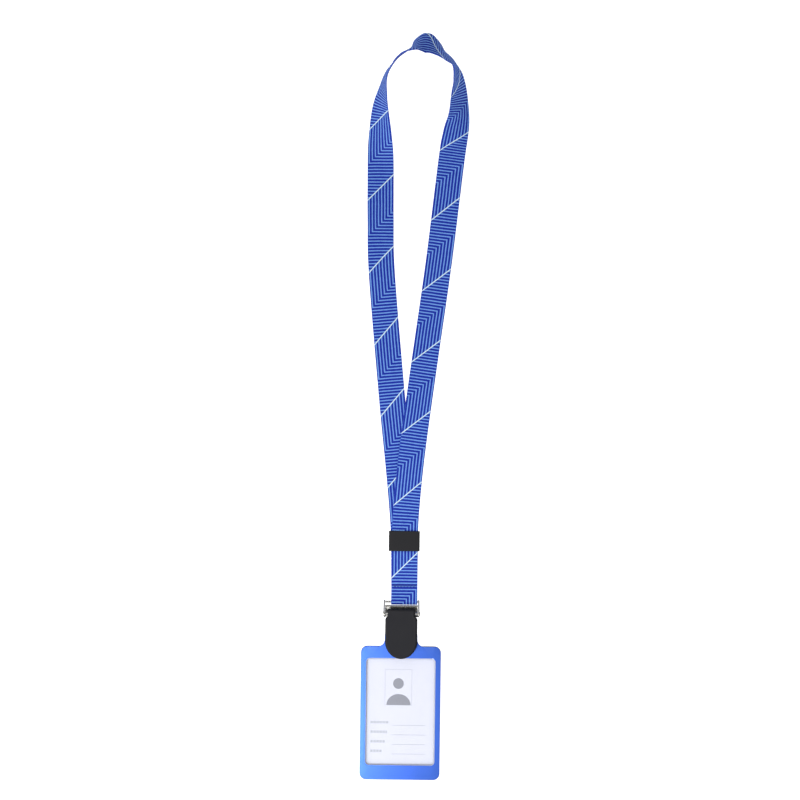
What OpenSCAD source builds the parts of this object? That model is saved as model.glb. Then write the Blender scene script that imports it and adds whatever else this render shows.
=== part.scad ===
// Neck lanyard with a flap clip and a metal card holder, laid flat as in storage.
// Origin: centre of the holder's back face. +Y runs up the strap, +Z is the front.

/* [Strap] */
// Width of the woven ribbon
strap_w = 20; // [15:0.5:20]
// Thickness of the ribbon
strap_t = 0.8; // [0.5:0.1:0.8]
// Length of one stitch at the seam
stitch_l = 1.6; // [1:0.1:2]
// Thickness of the sewing thread
thread_d = 0.4; // [0.2:0.05:0.5]

/* [Slider] */
// Height of the slider along the strap
slider_h = 15.3; // [8:0.1:20]
// Wall at the slider's front and back
slider_wall = 1.1; // [0.8:0.1:1.4]
// Wall at the slider's two edges
slider_edge = 0.8; // [0.6:0.1:2]
// Gap between the slider and the strap's edges
slider_gap = 0.5; // [0.3:0.1:1.5]

/* [Card] */
// Width of the card
card_w = 54; // [40:0.1:90]
// Height of the card
card_h = 85.6; // [60:0.1:130]
// Thickness of the card
card_t = 0.76; // [0.3:0.02:1.2]
// Thickness of the clear sheet over the card
sheet_t = 0.4; // [0.2:0.05:0.6]

/* [Card holder] */
// Width of the holder's rim beside the card
rim_side = 3.5; // [2.8:0.1:8]
// Height of the holder's rim above and below the card
rim_end = 8; // [6.5:0.1:14]
// Radius of the holder's corners
holder_r = 5; // [2:0.5:6]
// Thickness of the front plate
front_t = 1; // [0.8:0.1:1.4]
// Thickness of the liner between the clear sheet and the front plate
liner_t = 0.63; // [0.4:0.01:1.2]
// How far the window's edge overlaps the card at each side
lap_side = 1; // [0.5:0.1:4]
// How far the window's edge overlaps the card at each end
lap_end = 2.45; // [0.5:0.05:8]
// Height of the window's centre above the holder's centre
window_y = 1; // [-1:0.1:1.2]
// Radius of the window's corners
window_r = 2.5; // [1:0.1:5]
// Width of the neck
neck_w = 25; // [20:0.5:34]
// Height of the neck above the body
neck_h = 15; // [12.5:0.1:24]
// Radius of the fillets at the foot of the neck
neck_fillet = 5; // [2:0.1:6]
// Thickness of the sliding back plate
back_t = 0.8; // [0.6:0.1:1]
// Radius of the thumb notch in the back plate
thumb_r = 9; // [6:0.5:12]

/* [Clip] */
// Gap between the strap and the clip's ears, at each edge
clip_gap = 2.5; // [2.1:0.1:5]
// Thickness of the clip's sheet metal
metal_t = 0.8; // [0.6:0.1:1]
// Radius of the bar that the strap wraps round
bar_r = 0.75; // [0.5:0.05:0.75]
// Radius of the hinge pin
pin_r = 1; // [0.6:0.05:1.3]
// Gap between the flap and the clip's ears, at each edge
flap_gap = 0.25; // [0.2:0.05:2]
// Length of the flap, from its top edge to its tip
flap_l = 38.1; // [30:0.1:40]
// Thickness of the flap's moulded cover
flap_t = 2; // [1.4:0.1:2.6]
// Width of the gripping pads
pad_w = 17; // [14:0.5:20]
// Length of the gripping pads
pad_l = 7.5; // [5:0.5:9]

/* [Hidden] */
$fn = 48;
eps = 0.01;
slip = 0.1;              // clearance between pieces that slide or lie on each other
run_gap = 0.05;          // radial clearance of the hinge

// The strap's fold, which everything below hangs from
fold_y = 84.7;           // axis of the bar inside the fold
fold_z = 2.2;
strap_x = 2;             // the strap lies this far off the clip's centre line

// Heights of the layers in the holder, from its back face
side_wall = 1;
lip_w = 2;
lip_h = back_t - slip;
flange_t = 0.6;
card_z = lip_h + slip + flange_t + slip;
sheet_z = card_z + card_t + slip;
liner_z = sheet_z + sheet_t + eps;
front_z = liner_z + liner_t;
holder_t = front_z + front_t;

// The clip, from the bar down to the jaws
clip_w = strap_w + 2 * clip_gap;
flap_w = clip_w - 2 * flap_gap;
ear_t = 1;
ear_r = pin_r + 1.6;
base_z = 0.6;
base_top = base_z + metal_t;
lip_gap = 2.5;           // from the bar's axis to the lip below it
bar_lip_top = fold_y - lip_gap;
bar_lip_w = 2.6;
bar_lip_h = 3;
pivot_y = fold_y - 8.7;
base_step = 3;           // the base is full width down to here below the hinge
jaw_root = pivot_y - 4.2;
jaw_t = 0.6;
jaw_z = holder_t + slip + 1.3;
jaw_top = jaw_z + jaw_t;
neck_top = jaw_root - 6;
slot_y = neck_top - 5.6;
jaw_foot = slot_y - pad_l / 2;
barrel_r = pin_r + run_gap + 0.75;
pivot_z = jaw_top + barrel_r + run_gap;
fit_gap = 0.02;
hook_x = 5;
hook_w = 3.4;
hook_z = base_z + metal_t / 2;
hook_play = 0.5;         // room round each hook in its slot
pad_lip = 1;
slot_w = 12;
slot_h = 3.6;
peg_gap = 0.6;

// The flap, in its own frame: hinge at the origin, -Y to the tip
flap_over = 3.7;         // how far the flap reaches past its hinge
flap_tilt = 4.5;         // degrees that the closed flap slopes towards the card
flap_tip = 13.7;         // length of the round end
tip_step = 7.5;          // degrees between the points of the round end
shoulder_y = 2.4;
shoulder_in = 1.75;
crown = 1;
crown_in = 1.6;
crown_steps = 4;
core_t = 0.6;
core_top = barrel_r / 2;
core_in = 1.4;
barrel_l = flap_w - 2 * shoulder_in - 0.4;
cam_w = 14;
cam_reach = 4.6;
cam_t = 1.4;
cam_drop = pivot_z - jaw_top - slip / 2;

// The holder, hung by its neck from the jaws
holder_w = card_w + 2 * rim_side;
holder_h = card_h + 2 * rim_end;
holder_y = neck_top - neck_h - holder_h / 2;
window_w = card_w - 2 * lap_side;
window_h = card_h - 2 * lap_end;
sheet_w = card_w + 2;
sheet_h = card_h + 0.7;
pocket_w = holder_w - 2 * side_wall;
pocket_top = holder_h / 2 - rim_end / 2;
back_w = pocket_w - 2 * lip_w - 2 * slip;
flange_w = pocket_w - 2 * slip;
neck_corner = 7;
fillet_root = 1;         // how far the fillets reach into the body and the neck
spring_w = card_w - 14;
spring_h = 2.4;
spring_t = 0.3;
liner_show = 0.5;        // how far the liner reaches into the window

// The seam and the slider
seam_y = 97;
row_gap = 1.6;
seam_top = 3.2 + thread_d / 2;
stitch_step = stitch_l * 1.5;
seam_count = floor((strap_w - 3) / stitch_step);
slider_y = 131;
legs_step = 1;           // sideways step between the two legs inside the slider
slider_in_w = strap_w + legs_step + 2 * slider_gap;
slider_in_t = 2 * strap_t + 0.9;
slider_out_w = slider_in_w + 2 * slider_edge;
slider_out_t = slider_in_t + 2 * slider_wall;
slider_r = 0.9;

// The ribbon's route: place of its centre, then the compass angle and the rise of its right-hand edge.
// It starts in the seam, runs up the left leg, stands up in an arch at the neck, comes down on top of
// the left leg, wraps the clip's bar and ends behind the seam.
ROUTE = [
    [2, 95, 1.6, 0, 0], [1.5, 123, 1.8, 0, 0], [1, 139, 1.8, 0, 0], [-0.5, 158.5, 0.9, 0, 0],
    [-4, 193, 0.5, 0, 0], [-9, 238.5, 0.5, 0, 0], [-18, 333.5, 1, 0, -3], [-19.5, 375.5, 1.5, 0, -5],
    [-20, 417.5, 1.5, 0, 5], [-20.5, 440, 5.5, 0, 30], [-20.5, 459, 10, -5, 52],
    [-18.3, 473.5, 16, -12, 72], [-15.2, 485, 24, -30, 84], [-9.7, 493.4, 31, -40, 86],
    [-3.5, 499, 36, -52, 88], [1.8, 502, 38.5, -62, 79], [7.6, 505.1, 39.5, -73, 54],
    [13.8, 505.9, 40, -82, 33], [20.2, 503.4, 39, -91, 44], [26.4, 499.3, 35.5, -112, 66],
    [32, 494.4, 29, -160, 84], [35.5, 486.8, 21.5, -170, 75], [38, 478.6, 14.5, -180, 62],
    [39, 468.5, 10, -180, 50], [39, 456, 7, -180, 37], [37, 442.5, 3.5, -180, 13],
    [34, 422, 0.8, -180, 0], [25.5, 346, 0.6, -180, 0], [17.5, 284.5, 0.8, -180, 0],
    [11.5, 238.5, 1.7, -180, 0], [6, 193, 1.8, -180, 0], [3, 158.5, 2.1, -180, 0],
    [2, 139, 2.9, -180, 0], [2, 123, 2.9, -180, 0], [2, 97, 2.8, -180, 0], [2, 88, 3.6, -180, 0],
    [2, 85, 3.8, -180, 0], [2, 82.9, 2.2, -180, 0], [2, 85, 0.65, -180, 0], [2, 99, 0.5, -180, 0]
];
per_span = 2;
route_end = len(ROUTE) - 1;

function knot(i) = i < 0 ? 2 * ROUTE[0] - ROUTE[1]
    : i > route_end ? 2 * ROUTE[route_end] - ROUTE[route_end - 1] : ROUTE[i];
function spline(a, b, c, d, t) =
    0.5 * (2 * b + (c - a) * t + (2 * a - 5 * b + 4 * c - d) * t * t + (3 * b - a - 3 * c + d) * t * t * t);
function slope(a, b, c, d, t) =
    0.5 * ((c - a) + 2 * (2 * a - 5 * b + 4 * c - d) * t + 3 * (3 * b - a - 3 * c + d) * t * t);
function head(v) = [v[0], v[1], v[2]];
function unit(v) = v / norm(v);
function edge_way(k) = [cos(k[4]) * cos(k[3]), cos(k[4]) * sin(k[3]), sin(k[4])];
function square_to(v, t) = unit(v - (v * t) * t);

// One ring of the ribbon: its four corners, in order round the section
function ring(i, t) =
    let (a = knot(i - 1), b = knot(i), c = knot(i + 1), d = knot(i + 2),
         k = spline(a, b, c, d, t),
         along = unit(head(slope(a, b, c, d, t))),
         across = square_to(edge_way(k), along),
         up = cross(across, along),
         w = across * strap_w / 2,
         h = up * strap_t / 2,
         p = head(k))
    [p - w - h, p + w - h, p + w + h, p - w + h];

RINGS = [for (i = [0:route_end - 1], s = [0:per_span - 1]) ring(i, s / per_span), ring(route_end - 1, 1)];

module ribbon() {
    last = len(RINGS) - 1;
    corners = [for (r = RINGS, p = r) p];
    walls = [for (i = [0:last - 1], j = [0:3])
        let (k = (j + 1) % 4)
        for (f = [[4 * i + j, 4 * i + k, 4 * i + 4 + k], [4 * i + j, 4 * i + 4 + k, 4 * i + 4 + j]]) f];
    ends = [[3, 2, 1, 0], [4 * last, 4 * last + 1, 4 * last + 2, 4 * last + 3]];
    polyhedron(corners, concat(ends, walls), convexity = 20);
}

// A rectangle with round corners, centred
module round_rect(w, h, r) {
    square([w - 2 * r, h], center = true);
    square([w, h - 2 * r], center = true);
    for (x = [-1, 1], y = [-1, 1])
        translate([x * (w / 2 - r), y * (h / 2 - r)])
            circle(r);
}

// A slot with half-round ends, centred
module slot_shape(w, h) {
    square([w - h, h], center = true);
    for (x = [-1, 1])
        translate([x * (w - h) / 2, 0])
            circle(h / 2);
}

// A round-cornered plate, from z up
module plate(w, h, r, z, t) {
    translate([0, 0, z])
        linear_extrude(t)
            round_rect(w, h, r);
}

// A round bar along X
module bar_x(y, z, r, length) {
    translate([-length / 2, y, z])
        rotate([0, 90, 0])
            cylinder(r = r, h = length);
}

module strap_ribbon() {
    color("royalblue") ribbon();
}

// Two rows of stitches through the three layers, where the loop is closed
module stitch(x, y) {
    translate([x - stitch_l / 2, y - thread_d / 2, 0]) {
        cube([stitch_l, thread_d, thread_d]);
        cube([thread_d, thread_d, seam_top]);
        translate([0, 0, seam_top - thread_d])
            cube([stitch_l, thread_d, thread_d]);
    }
}

module seam_stitching() {
    color("navy")
        for (i = [0:seam_count - 1], row = [-0.5, 0.5])
            stitch(strap_x + (i - (seam_count - 1) / 2) * stitch_step, seam_y + row * row_gap);
}

// The slider takes both legs, one on the other
module slider_sleeve() {
    color("#2b2b2f")
        translate([strap_x - legs_step / 2, slider_y + slider_h / 2, slider_out_t / 2])
            rotate([90, 0, 0])
                linear_extrude(slider_h)
                    difference() {
                        round_rect(slider_out_w, slider_out_t, slider_r);
                        square([slider_in_w, slider_in_t], center = true);
                    }
}

// Side view of an ear: round at the hinge, round at the bar, straight along the base
module ear_outline() {
    difference() {
        hull() {
            translate([pivot_y, pivot_z])
                circle(ear_r, $fn = 32);
            translate([fold_y, fold_z])
                circle(bar_r + 0.6, $fn = 32);
            translate([pivot_y - base_step, base_z])
                square([2 * base_step, metal_t]);
        }
        translate([pivot_y, pivot_z])
            circle(pin_r + fit_gap);
    }
}

module ear() {
    translate([-ear_t / 2, 0, 0])
        rotate([90, 0, 90])
            linear_extrude(ear_t)
                ear_outline();
}

// The slots in the base that the spring jaw's two hooks rock in
module hook_slots() {
    for (x = [-1, 1])
        translate([x * hook_x - hook_w / 2 - hook_play, jaw_root - jaw_t - hook_play, base_z - eps])
            cube([hook_w + 2 * hook_play, jaw_t + 2 * hook_play, metal_t + 2 * eps]);
}

// A strip of sheet metal right across between the ears
module strip(y, width, z, t) {
    translate([-clip_w / 2 - eps, y, z])
        cube([clip_w + 2 * eps, width, t]);
}

module clip_base() {
    color("silver") {
        bar_x(fold_y, fold_z, bar_r, clip_w + ear_t);
        for (side = [-1, 1])
            translate([side * (clip_w + ear_t) / 2, 0, 0])
                ear();
        strip(bar_lip_top - metal_t, metal_t, base_z, bar_lip_h);
        strip(bar_lip_top - bar_lip_w, bar_lip_w, base_z + bar_lip_h - metal_t, metal_t);
        strip(pivot_y - base_step, bar_lip_top - pivot_y + base_step, base_z, metal_t);
        difference() {
            translate([-pad_w / 2 - 1, jaw_foot, base_z])
                cube([pad_w + 2, pivot_y - base_step - jaw_foot + eps, metal_t]);
            hook_slots();
        }
    }
}

module hinge_pin() {
    color("gainsboro") {
        bar_x(pivot_y, pivot_z, pin_r, clip_w + 2 * ear_t + 2 * slip);
        for (side = [-1, 1])
            translate([side * (clip_w / 2 + ear_t + slip + 0.3), 0, 0])
                bar_x(pivot_y, pivot_z, pin_r + 0.5, 0.6);
    }
}

// Moves its children into the closed flap's own frame: hinge at the origin, -Y to the tip
module on_flap() {
    translate([0, pivot_y, pivot_z])
        rotate([flap_tilt, 0, 0])
            children();
}

// The flap seen from the front: narrow shoulders at the hinge, straight sides, a round tip
module flap_outline(inset = 0) {
    half = flap_w / 2 - inset;
    top = flap_over - inset;
    tip_y = flap_over - flap_l + flap_tip;
    polygon(concat(
        [[half, -shoulder_y - shoulder_in], [half - shoulder_in, -shoulder_y], [half - shoulder_in, top],
         [shoulder_in - half, top], [shoulder_in - half, -shoulder_y], [-half, -shoulder_y - shoulder_in]],
        [for (a = [180:tip_step:360]) [half * cos(a), tip_y + (flap_tip - inset) * sin(a)]]));
}

module flap_cover() {
    color("#303036")
        on_flap()
            difference() {
                union() {
                    translate([0, 0, core_top])
                        linear_extrude(flap_t - crown)
                            flap_outline();
                    for (step = [1:crown_steps])
                        translate([0, 0, core_top + flap_t - crown])
                            linear_extrude(crown * step / crown_steps)
                                flap_outline(crown_in * (step / crown_steps) ^ 2);
                }
                bar_x(0, 0, barrel_r + slip, flap_w + 2);
            }
}

module flap_core() {
    color("dimgray")
        difference() {
            union() {
                bar_x(pivot_y, pivot_z, barrel_r, barrel_l);
                on_flap()
                    translate([0, 0, core_top - core_t])
                        linear_extrude(core_t)
                            flap_outline(core_in);
                translate([-cam_w / 2, pivot_y, pivot_z])
                    rotate([90, 0, 90])
                        linear_extrude(cam_w)
                            polygon([[0, core_top - slip], [-cam_reach, cam_t - cam_drop], [-cam_reach, -cam_drop],
                                     [cam_t - cam_reach, -cam_drop], [0, -barrel_r]]);
            }
            bar_x(pivot_y, pivot_z, pin_r + run_gap, flap_w);
        }
}

module spring_jaw() {
    color("silver") {
        translate([-pad_w / 2 - 0.5, jaw_foot, jaw_z])
            cube([pad_w + 1, jaw_root - jaw_foot, jaw_t]);
        translate([-pad_w / 2 - 0.5, jaw_root - jaw_t, base_top + 2 * slip])
            cube([pad_w + 1, jaw_t, jaw_top - base_top - 2 * slip]);
        for (x = [-1, 1])
            translate([x * hook_x, 0, 0]) {
                bar_x(jaw_root - jaw_t / 2, hook_z, jaw_t / 2, hook_w);
                translate([-hook_w / 2, jaw_root - jaw_t, hook_z])
                    cube([hook_w, jaw_t, base_top + 2 * slip + eps - hook_z]);
            }
    }
}

// A gripping pad: a block on the jaw, with ribs across it and a lip over the jaw's end
module pad(z, t, lip_from, lip_to) {
    translate([-pad_w / 2, jaw_foot, z])
        cube([pad_w, pad_l, t]);
    translate([-pad_w / 2, jaw_foot - pad_lip, lip_from])
        cube([pad_w, pad_lip, lip_to - lip_from]);
}

module rear_pad() {
    color("#3a3a3e") {
        pad(base_top, front_z - slip - base_top, base_z, front_z - slip);
        translate([0, slot_y, front_z - slip - eps])
            linear_extrude(front_t + slip)
                slot_shape(slot_w - peg_gap, slot_h - peg_gap);
    }
}

module front_pad() {
    color("#3a3a3e")
        pad(holder_t + slip, jaw_z - holder_t - slip, holder_t + slip, jaw_top);
}

// Moves its children into the holder's own frame: origin at the middle of its body
module on_holder() {
    translate([0, holder_y, 0])
        children();
}

// The holder's front outline: the body, the neck and the fillets where they meet
module holder_outline() {
    neck_foot = holder_h / 2 - holder_r;
    round_rect(holder_w, holder_h, holder_r);
    translate([0, (neck_foot + holder_h / 2 + neck_h) / 2])
        round_rect(neck_w, holder_h / 2 + neck_h - neck_foot, neck_corner);
    for (side = [-1, 1])
        difference() {
            translate([side * (neck_w + neck_fillet - fillet_root) / 2, (holder_h + neck_fillet - fillet_root) / 2])
                square(neck_fillet + fillet_root, center = true);
            translate([side * (neck_w / 2 + neck_fillet), holder_h / 2 + neck_fillet])
                circle(neck_fillet);
        }
}

module window_opening(margin = 0) {
    translate([0, window_y])
        round_rect(window_w + 2 * margin, window_h + 2 * margin, window_r + margin);
}

// A cut through the plate or channel from below the holder up to the pocket's end
module pocket(width, z, t) {
    translate([-width / 2, -holder_h, z])
        cube([width, holder_h + pocket_top, t]);
}

module holder_frame() {
    color("#3f76e0")
        on_holder()
            difference() {
                union() {
                    plate(holder_w, holder_h, holder_r, 0, holder_t);
                    translate([0, 0, front_z])
                        linear_extrude(front_t)
                            holder_outline();
                }
                pocket(pocket_w, lip_h, front_z - lip_h);
                pocket(pocket_w - 2 * lip_w, -eps, lip_h + 2 * eps);
                translate([0, 0, front_z - eps])
                    linear_extrude(front_t + 2 * eps)
                        window_opening();
                translate([0, slot_y - holder_y, front_z - eps])
                    linear_extrude(front_t + 2 * eps)
                        slot_shape(slot_w, slot_h);
            }
}

module window_liner() {
    color("#55575f")
        on_holder()
            translate([0, 0, liner_z])
                linear_extrude(liner_t)
                    difference() {
                        translate([0, window_y])
                            round_rect(sheet_w, sheet_h, 1);
                        window_opening(-liner_show);
                    }
}

module clear_sheet() {
    color("white", 0.4)
        on_holder()
            translate([0, window_y, 0])
                plate(sheet_w, sheet_h, 1, sheet_z, sheet_t);
}

// A flat spring across the top of the pocket keeps the back plate from sliding by itself
module catch_spring() {
    foot = 2;
    color("silver")
        on_holder() {
            translate([-spring_w / 2, pocket_top - spring_h, front_z - spring_t])
                cube([spring_w, spring_h, spring_t]);
            for (side = [-1, 1])
                translate([side * (spring_w / 2 - foot) - foot / 2, pocket_top - spring_h, card_z - slip / 2])
                    cube([foot, spring_h, front_z - card_z]);
        }
}

// The back plate: a flat panel with a raised flange that runs in the frame's channels
module holder_back() {
    color("#3566c8")
        on_holder()
            difference() {
                union() {
                    translate([-back_w / 2, -holder_h / 2, 0])
                        cube([back_w, holder_h / 2 + pocket_top - slip, back_t]);
                    translate([-flange_w / 2, holder_r - holder_h / 2, lip_h + slip])
                        cube([flange_w, holder_h / 2 - holder_r + pocket_top - slip, flange_t]);
                }
                translate([0, -holder_h / 2, -eps])
                    cylinder(r = thumb_r, h = holder_t);
            }
}

module id_card() {
    corner_r = 3.18;
    color("white")
        on_holder()
            translate([0, window_y, 0])
                plate(card_w, card_h, corner_r, card_z, card_t);
}

strap_ribbon();
seam_stitching();
slider_sleeve();
clip_base();
hinge_pin();
flap_core();
flap_cover();
spring_jaw();
rear_pad();
front_pad();
holder_frame();
window_liner();
clear_sheet();
catch_spring();
holder_back();
id_card();
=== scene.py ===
import math

import bmesh
import bpy
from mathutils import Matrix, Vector


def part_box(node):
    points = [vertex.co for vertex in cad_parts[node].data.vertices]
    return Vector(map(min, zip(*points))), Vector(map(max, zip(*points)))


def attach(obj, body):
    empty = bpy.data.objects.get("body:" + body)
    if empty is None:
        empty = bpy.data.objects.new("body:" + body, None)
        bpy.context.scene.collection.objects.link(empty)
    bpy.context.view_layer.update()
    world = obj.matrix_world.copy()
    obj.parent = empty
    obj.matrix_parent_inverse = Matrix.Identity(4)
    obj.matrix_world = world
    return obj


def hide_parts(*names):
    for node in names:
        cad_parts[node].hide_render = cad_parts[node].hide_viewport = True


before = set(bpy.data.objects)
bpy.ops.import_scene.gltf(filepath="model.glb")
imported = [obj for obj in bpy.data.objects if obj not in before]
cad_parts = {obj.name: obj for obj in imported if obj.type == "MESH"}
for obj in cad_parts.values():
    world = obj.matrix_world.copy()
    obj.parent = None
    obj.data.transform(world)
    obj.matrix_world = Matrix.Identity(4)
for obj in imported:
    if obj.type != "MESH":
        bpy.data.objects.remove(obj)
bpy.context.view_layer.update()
mm = 0.001

# camera, straight above the table

camera = {
    "over": (-0.00307, 0.2385),
    "height": 2.0,
    "field": 0.6107,      # width of table in view
    "turn": 0.7,          # degrees
    "sensor": 36,
}


def link(made):
    bpy.context.scene.collection.objects.link(made)
    return made


def placeCamera():
    lens = bpy.data.cameras.new("camera")
    lens.sensor_width = camera["sensor"]
    lens.lens = camera["sensor"] * camera["height"] / camera["field"]
    made = link(bpy.data.objects.new("camera", lens))
    made.location = (*camera["over"], camera["height"])
    made.rotation_euler = (0, 0, math.radians(camera["turn"]))
    bpy.context.scene.camera = made


placeCamera()
print("camera ready")

# shader helpers


class Wire:
    # one value in a shader, which Python's own signs can work on
    def __init__(self, graph, socket):
        self.graph = graph
        self.socket = socket

    def sum(self, operation, first, second=0.0):
        return self.graph.node("Math", {"operation": operation}, {0: first, 1: second})

    def __add__(self, other):
        return self.sum("ADD", self, other)

    def __sub__(self, other):
        return self.sum("SUBTRACT", self, other)

    def __rsub__(self, other):
        return self.sum("SUBTRACT", other, self)

    def __mul__(self, other):
        return self.sum("MULTIPLY", self, other)

    def __truediv__(self, other):
        return self.sum("DIVIDE", self, other)

    def __mod__(self, other):
        return self.sum("FLOORED_MODULO", self, other)

    def __lt__(self, other):
        return self.sum("LESS_THAN", self, other)

    def __gt__(self, other):
        return self.sum("GREATER_THAN", self, other)

    def __or__(self, other):
        return self.sum("MAXIMUM", self, other)

    def __and__(self, other):
        return self.sum("MINIMUM", self, other)

    def __abs__(self):
        return self.sum("ABSOLUTE", self)

    __radd__ = __add__
    __rmul__ = __mul__


class Graph:
    # the nodes of one material, or of the sky
    def __init__(self, name, kind="materials"):
        self.owner = getattr(bpy.data, kind).new(name)
        self.owner.use_nodes = True
        self.tree = self.owner.node_tree
        self.tree.nodes.clear()

    def node(self, kind, settings=None, values=None, out=0):
        made = self.tree.nodes.new("ShaderNode" + kind)
        for key, value in (settings or {}).items():
            setattr(made, key, value)
        for key, value in (values or {}).items():
            if isinstance(value, Wire):
                self.tree.links.new(value.socket, made.inputs[key])
            else:
                made.inputs[key].default_value = value
        return Wire(self, made.outputs[out]) if made.outputs else made

    def mix(self, factor, first, second):
        return self.node("Mix", {"data_type": "RGBA"}, {0: factor, 6: first, 7: second}, out=2)

    def soft(self, value, low, high):
        kind = {"interpolation_type": "SMOOTHSTEP"}
        return self.node("MapRange", kind, {"Value": value, "From Min": low, "From Max": high})

    def noise(self, scale, detail=2.0, stretch=(1, 1, 1)):
        place = self.node("TexCoord", out=3)
        moved = self.node("Mapping", None, {"Vector": place, "Scale": stretch})
        return self.node("TexNoise", None, {"Vector": moved, "Scale": scale, "Detail": detail})

    def bump(self, height, depth):
        return self.node("Bump", None, {"Strength": 1.0, "Distance": depth, "Height": height})

    def split(self, out):
        # x, y and z of the place or the direction that comes out of the coordinates node
        way = {"Vector": self.node("TexCoord", out=out)}
        return [self.node("SeparateXYZ", None, way, i) for i in range(3)]

    def finish(self, values):
        surface = self.node("BsdfPrincipled", None, values)
        self.node("OutputMaterial", None, {"Surface": surface})
        return self.owner


def tint(code):
    parts = [int(code[i:i + 2], 16) / 255 for i in (1, 3, 5)]
    return (*[p / 12.92 if p < 0.04045 else ((p + 0.055) / 1.055) ** 2.4 for p in parts], 1.0)


# mesh helpers: outlines are functions of an inset, so that rims can be rounded


def arc(x, y, r, start, end, steps=8):
    angles = [math.radians(start + (end - start) * i / steps) for i in range(steps + 1)]
    return [(x + r * math.cos(a), y + r * math.sin(a)) for a in angles]


def roundRect(w, h, r, x=0.0, y=0.0, steps=8):
    def outline(inset=0.0):
        a, b, c = w / 2 - inset, h / 2 - inset, max(r - inset, 0.05 * mm)
        corners = [(1, 1, 0), (-1, 1, 90), (-1, -1, 180), (1, -1, 270)]
        return [p for i, j, turn in corners
                for p in arc(x + i * (a - c), y + j * (b - c), c, turn, turn + 90, steps)]
    return outline


def aroundCircles(circles, count=72):
    # the tight outline round several circles (x, y, r)
    def outline(inset=0.0):
        points = []
        for i in range(count):
            a = 2 * math.pi * (i + 0.37) / count
            x, y, r = max(circles, key=lambda c: c[0] * math.cos(a) + c[1] * math.sin(a) + c[2])
            points.append((x + (r - inset) * math.cos(a), y + (r - inset) * math.sin(a)))
        return points
    return outline


def bentSheet(points, thick, bend, steps=6):
    # side view of sheet metal that follows points, with round bends
    line = [Vector(points[0])]
    for a, b, c in zip(points, points[1:], points[2:]):
        a, b, c = Vector(a), Vector(b), Vector(c)
        come, go = (b - a).normalized(), (c - b).normalized()
        middle = b - come * bend + go * bend
        for i in range(steps + 1):
            t = math.pi / 2 * i / steps
            line.append(middle + (-go * bend) * math.cos(t) + (come * bend) * math.sin(t))
    line.append(Vector(points[-1]))

    def outline(inset=0.0):
        half = thick / 2 - inset
        sides = ([], [])
        for i, p in enumerate(line):
            way = (line[min(i + 1, len(line) - 1)] - line[max(i - 1, 0)]).normalized()
            end = way * inset * ((i == 0) - (i == len(line) - 1))
            out = Vector((-way.y, way.x)) * half
            sides[0].append(tuple(p + out + end))
            sides[1].append(tuple(p - out + end))
        return sides[0] + sides[1][::-1]
    return outline


def upZ(x, y, z):
    return (x, y, z)


def alongX(x, y, z):
    return (z, x, y)


def alongY(x, y, z):
    return (x, z, y)


def stack(bm, outline, levels, place=upZ):
    # rings of one outline at each (inset, height), with walls between them
    rings = [[bm.verts.new(place(x, y, z)) for x, y in outline(inset)] for inset, z in levels]
    for low, high in zip(rings, rings[1:]):
        for i, vert in enumerate(low):
            j = (i + 1) % len(low)
            bm.faces.new((vert, low[j], high[j], high[i]))
    return rings[0], rings[-1]


def lid(bm, *rings):
    edges = [bm.edges.get((ring[i - 1], ring[i])) for ring in rings for i in range(len(ring))]
    bmesh.ops.triangle_fill(bm, edges=edges, use_beauty=True)


def closed(bm, outline, levels, place=upZ):
    # a stack with a lid at each end
    for ring in stack(bm, outline, levels, place):
        lid(bm, ring)


def rounded(low, high, rim, steps=3, both=True):
    # levels of a wall whose rims are quarter rounds
    turns = [math.pi / 2 * i / steps for i in range(steps + 1)]
    top = [(rim * (1 - math.cos(t)), high - rim * (1 - math.sin(t))) for t in turns]
    foot = [(rim * (1 - math.cos(t)), low + rim * (1 - math.sin(t))) for t in turns[::-1]]
    return (foot if both else [(0, low)]) + top


def block(bm, outline, low, high, rim=0.0, holes=(), place=upZ, both=True):
    # a plate with holes and rounded rims
    levels = rounded(low, high, rim, both=both) if rim else [(0, low), (0, high)]
    walls = [stack(bm, outline, levels, place)]
    for hole in holes:
        walls.append(stack(bm, hole, [(-inset, z) for inset, z in levels], place))
    lid(bm, *[wall[0] for wall in walls])
    lid(bm, *[wall[1] for wall in walls])


def skin(bm, rings):
    # walls between rings of vertices, with a face at each end
    for low, high in zip(rings, rings[1:]):
        for i, vert in enumerate(low):
            j = (i + 1) % len(low)
            bm.faces.new((vert, low[j], high[j], high[i]))
    bm.faces.new(rings[0])
    bm.faces.new(rings[-1])


def lathe(bm, profile, y, z, sides=40):
    # a turned shape about an axis along X; profile is (x, radius)
    rings = []
    for x, r in profile:
        turns = [2 * math.pi * i / sides for i in range(sides)]
        rings.append([bm.verts.new((x, y + r * math.cos(a), z + r * math.sin(a))) for a in turns])
    skin(bm, rings)


def dome(x, r, rise, steps=5):
    # the round end of a turned shape
    turns = [math.pi / 2 * i / steps for i in range(steps)]
    return [(x + rise * math.sin(t), r * math.cos(t)) for t in turns]


def tube(bm, points, radius, sides=8):
    # a thread along points, with tapered ends
    rings = []
    for i, p in enumerate(points):
        way = (points[min(i + 1, len(points) - 1)] - points[max(i - 1, 0)]).normalized()
        side = way.orthogonal().normalized()
        if abs(way.z) < 0.9:
            side = way.cross(Vector((0, 0, 1))).normalized()
        up = side.cross(way)
        r = radius * (0.55 if i in (0, len(points) - 1) else 1)
        turns = [2 * math.pi * k / sides for k in range(sides)]
        rings.append([bm.verts.new(p + side * r * math.cos(a) + up * r * math.sin(a))
                      for a in turns])
    skin(bm, rings)


sharpAngle = math.radians(40)


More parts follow.
